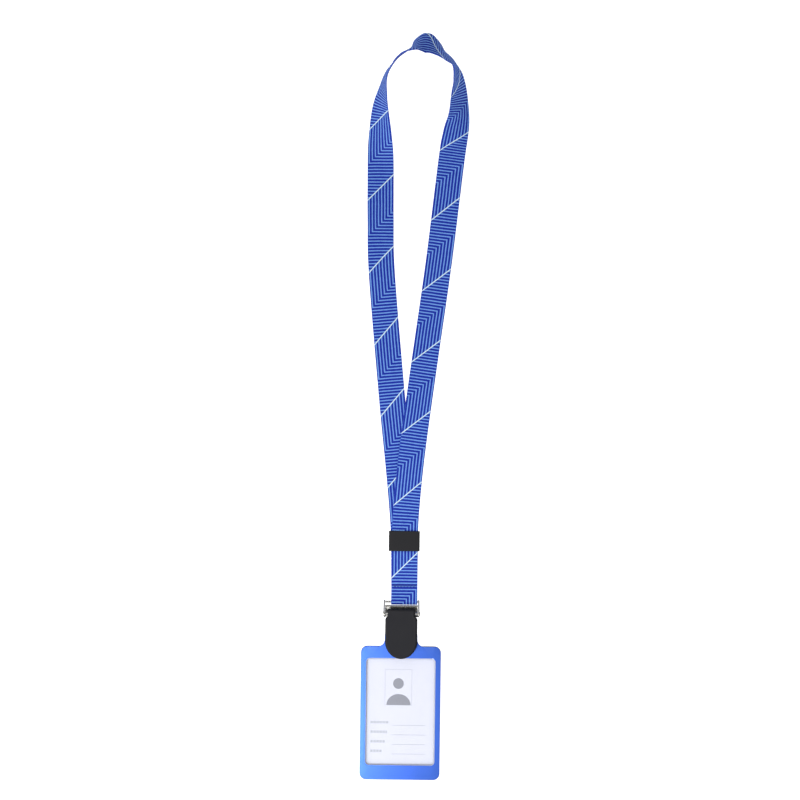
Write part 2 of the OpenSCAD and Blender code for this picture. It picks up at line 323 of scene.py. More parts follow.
def piece(name, bm, body, finish, *nodes):
    bmesh.ops.recalc_face_normals(bm, faces=bm.faces)
    for edge in bm.edges:
        edge.smooth = len(edge.link_faces) == 2 and edge.calc_face_angle() < sharpAngle
    for face in bm.faces:
        face.smooth = True
    mesh = bpy.data.meshes.new(name)
    bm.to_mesh(mesh)
    bm.free()
    made = link(bpy.data.objects.new(name, mesh))
    mesh.materials.append(finish["material"])
    even = made.modifiers.new("evenShading", "WEIGHTED_NORMAL")
    even.keep_sharp = True
    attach(made, body)
    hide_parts(*nodes)
    return made


def sizes(node):
    low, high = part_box(node)
    return low, high, (low + high) / 2


# the ribbon: one strip from the seam, up and round, and back behind the seam

ribbon = {
    "width": 0.020,
    "thick": 0.0008,
    "perSpan": 8,            # rings between two points of the route
    "edgeRound": 0.97,       # share of the half width where the woven edge begins
    "edgeFlat": 0.35,        # share of the half thickness at that edge
    "base": "#122da6",
    "baseDeep": "#0f2492",
    "line": "#74a3ee",
    "bright": "#dcf4ff",
    "back": "#2346b4",
    "backDeep": "#1a3794",
    # painted shade for the stitched dip
    "seamShade": "#0c1d78",
    "selvedge": "#2b4fc4",
    "weft": 0.5,             # millimetres from thread to thread along the strap
    "warp": 0.62,            # and across it
    "repeat": 54.75,         # millimetres of strap for one repeat of the print
    "pitch": 2.4,            # from one thin line to the next
    "lineShare": 0.18,       # half of a thin line, in pitches
    "slash": 0.38,           # half width of the thick slanted line
    "start": 22.7,           # where the first slanted line crosses the middle
    "seam": 0.097,           # height of the stitched dip
    "archFrom": 330.0,       # the print runs faster over the arch
    "archTo": 560.0,
    "archExtra": 53.0,
    "route": [               # x, y, z, then the compass and rise of one edge in degrees
        (0.002, 0.095, 0.0016, 0, 0), (0.0015, 0.123, 0.0018, 0, 0),
        (0.001, 0.139, 0.0018, 0, 0), (-0.0005, 0.1585, 0.0009, 0, 0),
        (-0.004, 0.193, 0.0005, 0, 0), (-0.009, 0.2385, 0.0005, 0, 0),
        (-0.018, 0.3335, 0.001, 0, -3), (-0.0195, 0.3755, 0.0015, 0, -5),
        (-0.02, 0.4175, 0.0015, 0, 5),
        (-0.0205, 0.44, 0.0055, 0, 30), (-0.0205, 0.459, 0.01, -5, 52),
        (-0.0183, 0.4735, 0.016, -12, 72), (-0.0152, 0.485, 0.024, -30, 84),
        (-0.0097, 0.4934, 0.031, -40, 86), (-0.0035, 0.499, 0.036, -52, 88),
        (0.0018, 0.502, 0.0385, -62, 79), (0.0076, 0.5051, 0.0395, -73, 54),
        (0.0138, 0.5059, 0.04, -82, 33), (0.0202, 0.5034, 0.039, -91, 44),
        (0.0264, 0.4993, 0.0355, -112, 66), (0.032, 0.4944, 0.029, -160, 84),
        (0.0355, 0.4868, 0.0215, -170, 75), (0.038, 0.4786, 0.0145, -180, 62),
        (0.039, 0.4685, 0.01, -180, 50), (0.039, 0.456, 0.007, -180, 37),
        (0.037, 0.4425, 0.0035, -180, 13), (0.034, 0.422, 0.0008, -180, 0),
        (0.0255, 0.346, 0.0006, -180, 0), (0.0175, 0.2845, 0.0008, -180, 0),
        (0.0115, 0.2385, 0.0017, -180, 0), (0.006, 0.193, 0.0018, -180, 0),
        (0.003, 0.1585, 0.0021, -180, 0), (0.002, 0.139, 0.0029, -180, 0),
        (0.002, 0.123, 0.0029, -180, 0), (0.002, 0.097, 0.0028, -180, 0),
        (0.002, 0.088, 0.0036, -180, 0), (0.002, 0.085, 0.0038, -180, 0),
        (0.002, 0.0829, 0.0022, -180, 0), (0.002, 0.085, 0.00065, -180, 0),
        (0.002, 0.099, 0.0005, -180, 0),
    ],
}


def curveAt(knots, i, t):
    # the point and the slope of a smooth curve through the route, t of the way past point i
    last = len(knots) - 1
    a = knots[i - 1] if i else 2 * knots[0] - knots[1]
    b, c = knots[i], knots[i + 1]
    d = knots[i + 2] if i + 2 <= last else 2 * knots[last] - knots[last - 1]
    one, two, three = c - a, 2 * a - 5 * b + 4 * c - d, 3 * b - a - 3 * c + d
    place = 0.5 * (2 * b + one * t + two * t * t + three * t ** 3)
    slope = 0.5 * (one + 2 * two * t + 3 * three * t * t)
    return place, slope


def ribbonRings():
    knots = [Vector(point) for point in ribbon["route"]]
    spans = len(knots) - 1
    steps = [(i, k / ribbon["perSpan"]) for i in range(spans) for k in range(ribbon["perSpan"])]
    rings = []
    for i, t in steps + [(spans - 1, 1.0)]:
        place, slope = curveAt(knots, i, t)
        compass, rise = math.radians(place[3]), math.radians(place[4])
        way = Vector(slope[:3]).normalized()
        flat = math.cos(rise)
        edge = Vector((flat * math.cos(compass), flat * math.sin(compass), math.sin(rise)))
        across = (edge - way * edge.dot(way)).normalized()
        rings.append((Vector(place[:3]), across, across.cross(way)))
    return rings


def ribbonSection():
    # (across, up, printed side) round the strip, as shares of its half sizes
    columns = [ribbon["edgeRound"] * share / 4 for share in range(-4, 5)]
    flat = ribbon["edgeFlat"]
    top = [(-1.0, flat, 1.0)] + [(x, 1.0, 1.0) for x in columns] + [(1.0, flat, 1.0)]
    return top + [(-x, -up, 0.0) for x, up, _ in top]


def ribbonFinish():
    graph = Graph("wovenRibbon")
    along = graph.node("Attribute", {"attribute_name": "alongStrap"}, out=2)
    across = graph.node("Attribute", {"attribute_name": "acrossStrap"}, out=2)
    printed = graph.node("Attribute", {"attribute_name": "printedSide"}, out=2)
    sway = (graph.noise(60.0) - 0.5) * 0.5
    s, v = along + sway, across + sway
    repeat, pitch = ribbon["repeat"], ribbon["pitch"]
    slant = (s - v) % repeat
    crosswise = slant < repeat / 2
    lengthwise = 1 - crosswise
    turn = v + (s - v) % repeat - repeat / 2     # height above the corner of this repeat
    phase = turn * crosswise + v * lengthwise
    offset = abs(phase / pitch % 1 - 0.5) + (graph.noise(300.0) - 0.5) * 0.12
    line = 1 - graph.soft(offset, ribbon["lineShare"] - 0.04, ribbon["lineShare"] + 0.04)
    away = slant & (repeat - slant)
    slash = 1 - graph.soft(away, ribbon["slash"] * 1.2, ribbon["slash"] * 1.6)
    worn = graph.noise(900.0, 3.0)
    sine = {"operation": "SINE"}
    thread = graph.node("Math", sine, {0: along * (2 * math.pi / ribbon["weft"])})
    rib = graph.node("Math", sine, {0: across * (2 * math.pi / ribbon["warp"])})
    y = graph.split(3)[1]
    # the stitched dip across the strap: a real dip in the bump, and painted shade in the colour
    seamDipAndShade = 1 - graph.soft(abs(y - ribbon["seam"]), 0.3 * mm, 1.1 * mm)
    ground = graph.mix(worn * 0.35, tint(ribbon["base"]), tint(ribbon["baseDeep"]))
    inked = graph.mix(line, ground, tint(ribbon["line"]))
    inked = graph.mix(slash, inked, tint(ribbon["bright"]))
    plain = graph.mix(worn, tint(ribbon["back"]), tint(ribbon["backDeep"]))
    colour = graph.mix(printed > 0.5, plain, inked)
    # painted shade: the strap darkened in the stitched dip
    colour = graph.mix(seamDipAndShade * 0.55, colour, tint(ribbon["seamShade"]))
    selvedge = 1 - graph.soft(across & (ribbon["width"] / mm - across), 0.3, 0.9)
    return graph.finish({
        "Base Color": graph.mix(selvedge * 0.4, colour, tint(ribbon["selvedge"])),
        "Roughness": 0.62 + worn * 0.12,
        "Sheen Weight": 0.05,
        "Sheen Roughness": 0.5,
        "Specular IOR Level": 0.2,
        "Normal": graph.bump(thread * rib * 0.5 + selvedge * 0.6 - seamDipAndShade, 0.00006),
    })


def makeRibbon():
    rings, section = ribbonRings(), ribbonSection()
    half, depth = ribbon["width"] / 2, ribbon["thick"] / 2
    bm = bmesh.new()
    names = ("alongStrap", "acrossStrap", "printedSide")
    alongLayer, acrossLayer, sideLayer = [bm.verts.layers.float.new(name) for name in names]
    run, grid = 0.0, []
    for i, (middle, across, up) in enumerate(rings):
        if i:
            run += (middle - rings[i - 1][0]).length / mm
        share = (run - ribbon["archFrom"]) / (ribbon["archTo"] - ribbon["archFrom"])
        share = min(max(share, 0), 1)
        stretched = run + ribbon["archExtra"] * share * share * (3 - 2 * share) - ribbon["start"]
        row = []
        for x, z, side in section:
            vert = bm.verts.new(middle + across * x * half + up * z * depth)
            vert[alongLayer] = stretched
            vert[acrossLayer] = (x + 1) * half / mm
            vert[sideLayer] = side
            row.append(vert)
        grid.append(row)
    skin(bm, grid)
    finish = {"material": ribbonFinish(), "slot": "ribbon"}
    made = piece("wovenRibbon", bm, "strap", finish, "strap_ribbon")
    return made, [ring[0] for ring in rings]


strap, strapPath = makeRibbon()
strapLength = sum((b - a).length for a, b in zip(strapPath, strapPath[1:]))
print("ribbon laid, %.0f mm" % (strapLength / mm))

# sewing thread through the layers where the loop is closed

seam = {
    "rows": (0.0962, 0.0978),
    "count": 7,
    "step": 0.0024,
    "length": 0.0016,
    "thread": 0.0004,
    "colour": "#0f2068",
    "pale": "#24429a",
    # one stitch from end to end: share of its half length, and height in thread radii
    "stitch": ((-1, -0.9), (-0.8, -0.2), (-0.4, 0.15), (0, 0.25),
               (0.4, 0.15), (0.8, -0.2), (1, -0.9)),
}


def threadFinish():
    graph = Graph("sewingThread")
    diagonal = {"bands_direction": "DIAGONAL"}
    twist = graph.node("TexWave", diagonal, {"Scale": 900.0, "Distortion": 1.0})
    return graph.finish({
        "Base Color": graph.mix(twist, tint(seam["colour"]), tint(seam["pale"])),
        "Roughness": 0.55,
        "Normal": graph.bump(twist, 0.00004),
    })


def makeSeam():
    low, high, middle = sizes("seam_stitching")
    bm = bmesh.new()
    r, half = seam["thread"] / 2, seam["length"] / 2
    for y in seam["rows"]:
        for i in range(seam["count"]):
            x = middle.x + (i - (seam["count"] - 1) / 2) * seam["step"]
            for z, way in ((high.z - r, 1), (low.z + r, -1)):
                tube(bm, [Vector((x + half * dx, y, z + way * dz * r))
                          for dx, dz in seam["stitch"]], r)
    finish = {"material": threadFinish(), "slot": "thread"}
    return piece("seamThread", bm, "strap", finish, "seam_stitching")


seamThread = makeSeam()

# the slider that holds both legs together

slider = {
    "corner": 0.0009,
    "innerCorner": 0.0003,
    "edge": 0.0008,
    "wall": 0.0011,
    "rim": 0.0003,
    "colour": "#101014",
}
plastic = {"dusty": "#1a1a22", "specular": 0.32}


def mouldedFinish(name, colour, roughness, grain=2500.0, depth=0.00003):
    graph = Graph(name)
    fine = graph.noise(grain, 3.0)
    broad = graph.noise(90.0)
    return graph.finish({
        "Base Color": graph.mix(broad * 0.25, tint(colour), tint(plastic["dusty"])),
        "Roughness": roughness + broad * 0.1,
        "Specular IOR Level": plastic["specular"],
        "Normal": graph.bump(fine, depth),
    })


def makeSlider():
    low, high, middle = sizes("slider_sleeve")
    w, t = high.x - low.x, high.z - low.z
    outer = roundRect(w, t, slider["corner"], middle.x, middle.z)
    inner = roundRect(w - 2 * slider["edge"], t - 2 * slider["wall"], slider["innerCorner"],
                      middle.x, middle.z)
    bm = bmesh.new()
    block(bm, outer, low.y, high.y, slider["rim"], [inner], alongY)
    material = mouldedFinish("sliderPlastic", slider["colour"], 0.5)
    finish = {"material": material, "slot": "slider_plastic"}
    return piece("sliderSleeve", bm, "slider", finish, "slider_sleeve")


sliderSleeve = makeSlider()
print("seam sewn, slider on")

# the clip's metal: bar, ears and bent base

clip = {
    "bar": (0.0847, 0.0022, 0.00075),      # y, z, radius
    "pin": (0.0760, 0.00825, 0.0026),      # y, z, radius of the ear round it
    "pinStep": 0.0005,                     # from the pin's head down to its shaft
    "pinHead": 0.0006,
    "earThick": 0.001,
    "earRim": 0.00028,
    "earBow": 0.0003,
    "earReach": 0.0065,                    # from the middle of the bow to its end
    "earOver": 0.0006,                     # metal round the bar
    "earFoot": 0.006,
    "earCorner": 0.0004,
    "sheet": 0.0008,
    "bend": 0.0007,
    "lipTop": 0.0822,
    "lipWidth": 0.0026,
    "lipHeight": 0.003,
    "lipDroop": 0.0001,
    "baseFoot": 0.0730,
    "tongueWidth": 0.019,
    "tongueCorner": 0.0008,
    "tongueRim": 0.00015,
    "hookSlot": (0.0044, 0.0016, 0.0002),  # width, height, corner
    "hookX": 0.005,
    "hookY": 0.0715,
    "colour": "#d9d8d4",
    "smudge": "#b9b4aa",
}


def nickelFinish(name, colour, roughness):
    graph = Graph(name)
    brushed = graph.noise(700.0, 3.0, (0.08, 1.0, 1.0))
    smudge = graph.noise(120.0)
    return graph.finish({
        "Base Color": graph.mix(smudge * 0.5, tint(colour), tint(clip["smudge"])),
        "Metallic": 1.0,
        "Roughness": roughness + smudge * 0.12,
        "Normal": graph.bump(brushed, 0.000004),
    })


nickel = {"material": nickelFinish("nickelPlate", clip["colour"], 0.2), "slot": "nickel"}


def makeClipBase():
    low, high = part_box("clip_base")
    thick, corner = clip["earThick"], clip["earCorner"]
    sheet, foot = clip["sheet"], clip["baseFoot"]
    inside = high.x - thick
    barY, barZ, barR = clip["bar"]
    pinY, pinZ, earR = clip["pin"]
    bm = bmesh.new()
    lathe(bm, [(-inside, barR), (inside, barR)], barY, barZ)
    circles = [(pinY, pinZ, earR), (barY, barZ, barR + clip["earOver"])]
    for y in (foot + corner, foot + clip["earFoot"] - corner):
        circles.append((y, low.z + corner, corner))
    ear = aroundCircles(circles)
    for side in (-1, 1):
        before = set(bm.verts)
        x = side * (inside + thick / 2)
        block(bm, ear, x - thick / 2, x + thick / 2, clip["earRim"], (), alongX)
        for vert in set(bm.verts) - before:
            reach = (vert.co.y - (pinY + barY) / 2) / clip["earReach"]
            vert.co.x += side * clip["earBow"] * (1 - reach * reach)
    z = low.z + sheet / 2
    lipY, lipZ = clip["lipTop"] - sheet / 2, low.z + clip["lipHeight"] - sheet / 2
    lipEnd = (lipY - clip["lipWidth"] + sheet / 2, lipZ - clip["lipDroop"])
    base = bentSheet([(foot, z), (lipY, z), (lipY, lipZ), lipEnd], sheet, clip["bend"])
    block(bm, base, -inside, inside, 0.0, (), alongX)
    tongue = roundRect(clip["tongueWidth"], foot - low.y, clip["tongueCorner"],
                       0.0, (foot + low.y) / 2)
    slots = [roundRect(*clip["hookSlot"], side * clip["hookX"], clip["hookY"]) for side in (-1, 1)]
    block(bm, tongue, low.z, low.z + sheet, clip["tongueRim"], slots)
    return piece("clipBase", bm, "clip", nickel, "clip_base")


def makeHingePin():
    low, high, middle = sizes("hinge_pin")
    head, neck = (high.z - low.z) / 2, clip["pinHead"]
    step = high.x - neck
    right = [(step, head - clip["pinStep"]), (step, head)] + dome(high.x - neck / 2, head, neck / 2)
    bm = bmesh.new()
    lathe(bm, [(-x, r) for x, r in right[::-1]] + right, middle.y, middle.z)
    return piece("hingePin", bm, "clip", nickel, "hinge_pin")


makeClipBase()
makeHingePin()
print("clip metal done")

# the flap: moulded cover over a stiffener with the hinge barrel and cam

flap = {
    "hinge": (0.0760, 0.00825),       # y, z
    "tilt": 4.5,                      # degrees
    "width": 0.0245,
    "over": 0.0037,
    "length": 0.0381,
    "tip": 0.0137,
    "shoulderY": 0.0024,
    "shoulderIn": 0.00175,
    "shoulderCorner": 0.0008,
    "foot": 0.0009,
    "side": 0.001,
    "crown": 0.001,
    "crownIn": 0.0018,
    "dish": 0.00012,
    "dishIn": 0.0007,
    "colour": "#0d0d15",
}


def flapOutline(inset=0.0):
    half = flap["width"] / 2 - inset
    top = flap["over"] - inset
    tipY = flap["over"] - flap["length"] + flap["tip"]
    low, cut = -flap["shoulderY"] - flap["shoulderIn"], flap["shoulderIn"]
    soft = flap["shoulderCorner"]
    right = [(half, low), (half - cut * 0.3, low + cut * 0.75),
             (half - cut, -flap["shoulderY"] + cut * 0.35)]
    right += arc(half - cut - soft, top - soft, soft, 0, 90, 4)
    points = right + [(-x, y) for x, y in right[::-1]]
    turns = [math.radians(180 + 5 * i) for i in range(1, 36)]
    points.append((-half, tipY))
    points += [(half * math.cos(a), tipY + (flap["tip"] - inset) * math.sin(a)) for a in turns]
    return points + [(half, tipY)]


def onFlap(x, y, z):
    a = math.radians(flap["tilt"])
    hingeY, hingeZ = flap["hinge"]
    return (x, hingeY + y * math.cos(a) - z * math.sin(a),
            hingeZ + y * math.sin(a) + z * math.cos(a))


def makeFlapCover():
    bm = bmesh.new()
    foot, crownIn, crown = flap["foot"], flap["crownIn"], flap["crown"]
    edge = foot + flap["side"]
    levels = [(0.35 * mm, foot), (0.1 * mm, foot + 0.08 * mm), (0, foot + 0.3 * mm)]
    for i in range(8):
        t = math.pi / 2 * i / 7
        levels.append((crownIn * (1 - math.cos(t)), edge + crown * math.sin(t)))
    levels.append((crownIn + flap["dishIn"], edge + crown - flap["dish"]))
    closed(bm, flapOutline, levels, onFlap)
    material = mouldedFinish("flapPlastic", flap["colour"], 0.58, 1800.0, 0.00005)
    finish = {"material": material, "slot": "flap_plastic"}
    return piece("flapCover", bm, "flap", finish, "flap_cover")


makeFlapCover()

# the spring jaw and the two rubber pads

jaw = {
    "sheet": 0.0006,
    "bend": 0.0009,
    "plateLift": 0.0009,       # from the hooks' ends up to the plate's foot
    "hookWidth": 0.0034,
    "rim": 0.00012,
    "ribs": 6,
    "ribDepth": 0.00035,
    "lip": 0.001,
    "padCorner": 0.0004,
    "padRim": 0.00025,
    "peg": (0.0114, 0.003),
    "steel": "#c4c4c6",
    "rubber": "#3a3a3e",
}


def makeSpringJaw():
    low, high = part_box("spring_jaw")
    half, wide = jaw["sheet"] / 2, jaw["hookWidth"] / 2
    y, top, foot = high.y - half, high.z - half, low.z + jaw["plateLift"]
    bm = bmesh.new()
    bent = bentSheet([(low.y, top), (y, top), (y, foot)], jaw["sheet"], jaw["bend"])
    block(bm, bent, low.x, high.x, jaw["rim"], (), alongX)
    # the hooks reach down through the base from the bent plate's foot
    hook = aroundCircles([(y, low.z + half, half), (y, foot + half, half)], 32)
    for x in (-clip["hookX"], clip["hookX"]):
        block(bm, hook, x - wide, x + wide, 0.1 * mm, (), alongX)
    return piece("springJaw", bm, "jaw", springSteel, "spring_jaw")


def ribbedSide(low, high, z0, z1, ribsUp):
    # side view of a pad, with rounded ribs on its gripping face
    def outline(inset=0.0):
        y0, y1 = low + inset, high - inset
        grip, flat = (z1, z0) if ribsUp else (z0, z1)
        way = 1 if ribsUp else -1
        points, steps = [], jaw["ribs"] * 6
        for i in range(steps + 1):
            wave = 0.5 - 0.5 * math.cos(2 * math.pi * jaw["ribs"] * i / steps)
            depth = inset + jaw["ribDepth"] * (1 - wave)
            points.append((y0 + (y1 - y0) * i / steps, grip - way * depth))
        return points + [(y1, flat + way * inset), (y0, flat + way * inset)]
    return outline


springSteel = {"material": nickelFinish("springSteel", jaw["steel"], 0.26), "slot": "spring_steel"}
padRubber = mouldedFinish("padRubber", jaw["rubber"], 0.72, 1200.0, 0.00008)


def makePad(name, body, node, ribsUp, peg):
    low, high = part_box(node)
    back = frontFace if ribsUp else high.z
    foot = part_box("clip_base")[0].z + clip["sheet"] if ribsUp else low.z
    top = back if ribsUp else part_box("spring_jaw")[1].z - jaw["sheet"]
    ribsFrom = low.y + jaw["lip"]
    side = ribbedSide(ribsFrom, high.y, foot, top, ribsUp)
    lip = roundRect(jaw["lip"], back - low.z, jaw["padCorner"],
                    low.y + jaw["lip"] / 2, (low.z + back) / 2, 4)
    bm = bmesh.new()
    for outline in (side, lip):
        block(bm, outline, low.x, high.x, jaw["padRim"], (), alongX)
    if peg:
        w, h = jaw["peg"]
        shape = roundRect(w, h, h / 2 - 0.01 * mm, 0.0, (ribsFrom + high.y) / 2)
        block(bm, shape, top - 0.5 * mm, high.z, 0.2 * mm, (), both=False)
    return piece(name, bm, body, {"material": padRubber, "slot": "pad_plastic"}, node)


# the card holder: front plate, channels, liner, clear sheet, catch spring and back plate

holder = {
    "width": 0.061,
    "height": 0.1016,
    "corner": 0.005,
    "neckWidth": 0.025,
    "neckTop": 0.0658,
    "neckCorner": 0.007,
    "fillet": 0.005,
    "front": 0.001,
    "window": (0.052, 0.0807, 0.0025, 0.001),     # width, height, corner, centre
    "slot": (0.012, 0.0036, 0.0602),
    "rim": 0.00022,
    "windowRim": 0.00045,      # bare metal chamfer
    "wall": 0.001,
    "lip": 0.002,
    "lipHeight": 0.0007,
    "pocketTop": 0.0468,
    "linerShow": 0.00035,
    "sheetCorner": 0.001,
    "thumb": 0.009,
    "flangeFoot": -0.0458,
    "clear": 0.0001,           # between the back plate and its channels
    "colour": "#4c78e6",
    "shade": "#3e68d6",
    # painted highlight: the light blue laid on the rims
    "edgeHighlight": "#8fb4ff",
    "bare": "#e6e9f2",
    "liner": "#bcbfca",
    "linerPale": "#cdd0da",
    "sheet": "#f4f6ff",
}
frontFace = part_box("holder_frame")[1].z - holder["front"]


def holderOutline(inset=0.0):
    w, h, r = holder["width"] / 2, holder["height"] / 2, holder["corner"]
    n, f, c = holder["neckWidth"] / 2, holder["fillet"], holder["neckCorner"]
    rr, ff, cc = r - inset, f + inset, c - inset
    right = arc(w - r, r - h, rr, -90, 0) + arc(w - r, h - r, rr, 0, 90)
    right += arc(n + f, h + f, ff, -90, -180) + arc(n - c, holder["neckTop"] - c, cc, 0, 90)
    return right + [(-x, y) for x, y in right[::-1]]


windowOutline = roundRect(*holder["window"][:3], y=holder["window"][3])


def channelOutline(wall):
    # an arch of metal round three sides of the pocket, open at the foot
    def outline(inset=0.0):
        w, h, r = holder["width"] / 2, holder["height"] / 2, holder["corner"]
        inner = w - wall
        start = math.degrees(math.acos((inner - w + r) / r)) if inner > w - r else 90.0
        right = arc(w - r, r - h, r - inset, -start, 0) + arc(w - r, h - r, r - inset, 0, 90)
        points = right + [(-x, y) for x, y in right[::-1]]
        foot = r - h - r * math.sin(math.radians(start))
        inside = [(-inner, holder["pocketTop"]), (inner, holder["pocketTop"])]
        if start < 90:
            points[0], points[-1] = (inner, points[0][1]), (-inner, points[-1][1])
        else:
            inside = [(-inner, foot)] + inside + [(inner, foot)]
        return points + inside
    return outline


def anodisedFinish(name, colour, shade):
    graph = Graph(name)
    blasted = graph.noise(2600.0, 3.0)
    broad = graph.noise(35.0)
    # painted highlight: sharp convex edges and rims are lightened toward a lit blue
    edgeHighlight = graph.soft(graph.node("NewGeometry", out=7), 0.56, 0.72)
    paint = graph.mix(broad * 0.4, tint(colour), tint(shade))
    paint = graph.mix(edgeHighlight * 0.35, paint, tint(holder["edgeHighlight"]))
    x, y = graph.split(3)[:2]
    facing = graph.split(1)[2]
    w, h = holder["window"][:2]
    middle = holder["window"][3]
    reach = holder["windowRim"]
    near = (abs(x) < w / 2 + reach) & (abs(y - middle) < h / 2 + reach)
    cut = near & (facing < 0.9) & (facing > 0.4)      # only the sloping chamfer
    return graph.finish({
        "Base Color": graph.mix(cut, paint, tint(holder["bare"])),
        "Metallic": 0.82,
        "Roughness": 0.28 + broad * 0.06,
        "Normal": graph.bump(blasted, 0.00002),
    })


anodisedBlue = anodisedFinish("anodisedBlue", holder["colour"], holder["shade"])
anodised = {"material": anodisedBlue, "slot": "holder_blue"}


def makeHolderFrame():
    low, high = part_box("holder_frame")
    bm = bmesh.new()
    slotW, slotH, slotY = holder["slot"]
    slot = roundRect(slotW, slotH, slotH / 2 - 0.01 * mm, 0.0, slotY)
    levels = rounded(frontFace, high.z, holder["rim"], both=False)
    cut, lipTop, soft = holder["windowRim"], holder["lipHeight"], 0.15 * mm
    walls = [stack(bm, holderOutline, levels)]
    walls.append(stack(bm, slot, [(-inset, z) for inset, z in levels]))
    walls.append(stack(bm, windowOutline, [(0, frontFace), (0, high.z - cut), (-cut, high.z)]))
    lid(bm, *[wall[0] for wall in walls])
    lid(bm, *[wall[1] for wall in walls])
    closed(bm, channelOutline(holder["wall"]), [(0, lipTop), (0, frontFace)])
    wide = channelOutline(holder["wall"] + holder["lip"])
    closed(bm, wide, [(soft, low.z), (0, low.z + soft), (0, lipTop)])
    return piece("holderFrame", bm, "clip", anodised, "holder_frame")


def makeLiner():
    low, high, middle = sizes("window_liner")
    bm = bmesh.new()
    outer = roundRect(high.x - low.x, high.y - low.y, holder["sheetCorner"], 0.0, middle.y)
    show, soft = holder["linerShow"], 0.1 * mm
    # the inner edge slopes down to the sheet
    walls = [stack(bm, outer, [(0, low.z), (0, high.z)])]
    walls.append(stack(bm, windowOutline, [(show, low.z), (show, low.z + soft), (-soft, high.z)]))
    lid(bm, walls[0][0], walls[1][0])
    lid(bm, walls[0][1], walls[1][1])
    graph = Graph("linerPlastic")
    grain = graph.noise(1500.0, 3.0)
    material = graph.finish({
        "Base Color": graph.mix(grain * 0.3, tint(holder["liner"]), tint(holder["linerPale"])),
        "Roughness": 0.35,
        "Normal": graph.bump(grain, 0.00002),
    })
    finish = {"material": material, "slot": "liner_plastic"}
    return piece("windowLiner", bm, "clip", finish, "window_liner")


def makeClearSheet():
    low, high, middle = sizes("clear_sheet")
    bm = bmesh.new()
    outline = roundRect(high.x - low.x, high.y - low.y, holder["sheetCorner"], 0.0, middle.y)
    block(bm, outline, low.z, high.z, 0.08 * mm)
    graph = Graph("clearSheet")
    haze = graph.noise(200.0)
    material = graph.finish({
        "Base Color": tint(holder["sheet"]),
        "Roughness": 0.08 + haze * 0.08,
        "Alpha": 0.07 + haze * 0.03,
        "Normal": graph.bump(graph.noise(30.0), 0.00002),
    })
    finish = {"material": material, "slot": "clear_sheet"}
    return piece("clearSheet", bm, "clip", finish, "clear_sheet")


catch = {"sheet": 0.0003, "endIn": 0.002, "bend": 0.0004, "rim": 0.00008}


def makeCatchSpring():
    # a strip whose two ends are bent down to the back plate
    low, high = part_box("catch_spring")
    left, right = low.x + catch["endIn"], high.x - catch["endIn"]
    top = high.z - catch["sheet"] / 2
    strip = bentSheet([(left, low.z), (left, top), (right, top), (right, low.z)],
                      catch["sheet"], catch["bend"])
    bm = bmesh.new()
    block(bm, strip, low.y, high.y, catch["rim"], (), alongY)
    return piece("catchSpring", bm, "clip", springSteel, "catch_spring")


def makeHolderBack():
    low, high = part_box("holder_back")
    clear = holder["clear"]
    panelTop = holder["lipHeight"] + clear
    lipEdge = holder["width"] / 2 - holder["wall"] - holder["lip"] - clear

    def panel(half, foot):
        # a plate with the thumb notch cut out of its foot
        def outline(inset=0.0):
            side, top, bottom = half - inset, high.y - inset, foot + inset
            r = holder["thumb"] + inset
            start = math.degrees(math.asin((bottom - low.y) / r))
            notch = arc(0.0, low.y, r, 180 - start, start, 24)
            return [(side, top), (-side, top), (-side, bottom)] + notch + [(side, bottom)]
        return outline

    rim = [(0.2 * mm, low.z), (0.05 * mm, low.z + 0.05 * mm), (0, low.z + 0.2 * mm)]
    bm = bmesh.new()
    closed(bm, panel(lipEdge, low.y), rim + [(0, panelTop)])
    closed(bm, panel(high.x, holder["flangeFoot"]),
           [(0, panelTop), (0, high.z - 0.1 * mm), (0.1 * mm, high.z)])
    return piece("holderBack", bm, "back", anodised, "holder_back")


makeSpringJaw()
makePad("rearPad", "clip", "rear_pad", True, True)
makePad("frontPad", "jaw", "front_pad", False, False)
makeHolderFrame()
makeLiner()
makeClearSheet()
makeCatchSpring()
makeHolderBack()
print("jaws and holder done")

# the card, printed with a plain blank form

card = {
    "corner": 0.00318,
    "rim": 0.00006,
    "paper": "#e6e8f5",
    "paperDeep": "#dfe2f0",
    "ink": "#838693",
    "faint": "#a9adbb",
    "words": "#bcc0cc",
    "head": (-0.0016, 0.0223, 0.0041),                # x, y, radius
    "shoulders": (-0.0014, 0.0059, 0.0092, 0.0084),   # x, y of the foot, half width, height
    "frame": (-0.0016, 0.0195, 0.0206, 0.0275),       # centre, width, height
    "frameLine": 0.00045,
    "rows": (-0.0073, -0.0146, -0.0219, -0.0292),
    "labels": (0.014, 0.0126, 0.0114, 0.0091),        # widths, a row each
    "labelX": -0.0225,
    "labelHeight": 0.0019,
    "letter": 0.0023,                                 # from one gap in a label to the next
    "rule": (-0.0062, 0.0192),                        # ends of the line to write on
    "ruleLine": 0.0003,
    "ruleDrop": 0.0022,
}


